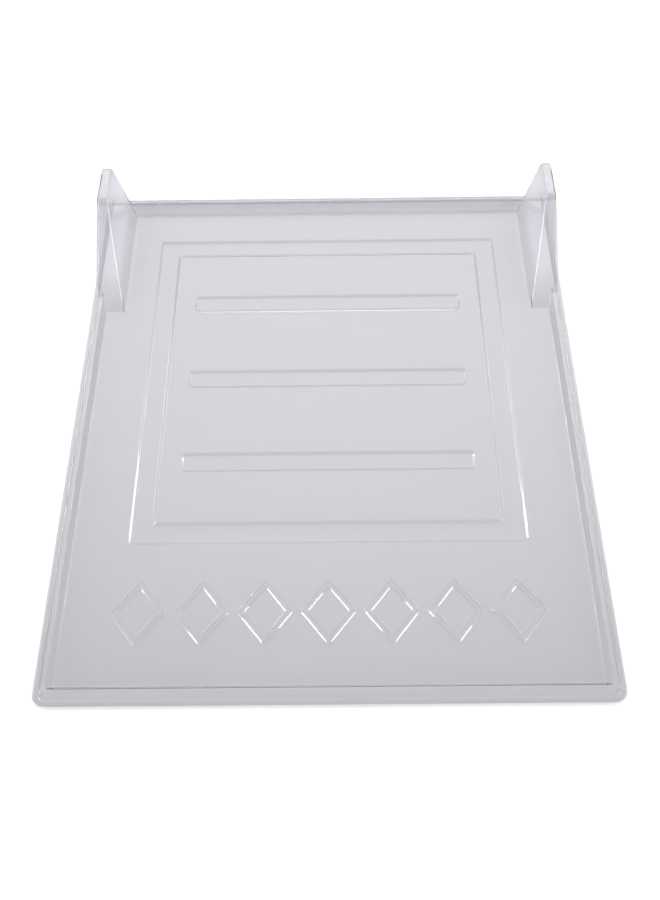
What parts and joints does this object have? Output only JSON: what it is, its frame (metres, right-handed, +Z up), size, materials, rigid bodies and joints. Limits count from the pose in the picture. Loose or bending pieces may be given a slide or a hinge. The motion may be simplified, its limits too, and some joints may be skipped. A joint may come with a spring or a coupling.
{
  "type": "letter tray",
  "caption": "Shallow clear stacking letter tray with a raised rim, recessed channel and grooves in the floor, and hollow wedge posts at the rear corners.",
  "frame": {"origin": "on the table, under the middle of the tray's outline", "axes": "+X to the right, +Y to the back, where the posts are, +Z up"},
  "size_m": [0.254, 0.305, 0.037],
  "materials": {
    "clear_sheet": "clear glossy sheet with a faint lavender-grey tint"
  },
  "bodies": {
    "root": {"floor_field": "clear_sheet", "side_floor_left": "clear_sheet", "side_floor_right": "clear_sheet", "rear_floor": "clear_sheet", "front_panel": "clear_sheet", "front_lozenges": "clear_sheet", "channel_left": "clear_sheet", "channel_right": "clear_sheet", "channel_rear": "clear_sheet", "channel_front": "clear_sheet", "cross_groove_rear": "clear_sheet", "cross_groove_middle": "clear_sheet", "cross_groove_front": "clear_sheet", "rim_left": "clear_sheet", "rim_right": "clear_sheet", "rim_front": "clear_sheet", "rim_rear": "clear_sheet", "rim_corner_left": "clear_sheet", "rim_corner_right": "clear_sheet", "post_left": "clear_sheet", "post_right": "clear_sheet"}
  },
  "joints": []
}
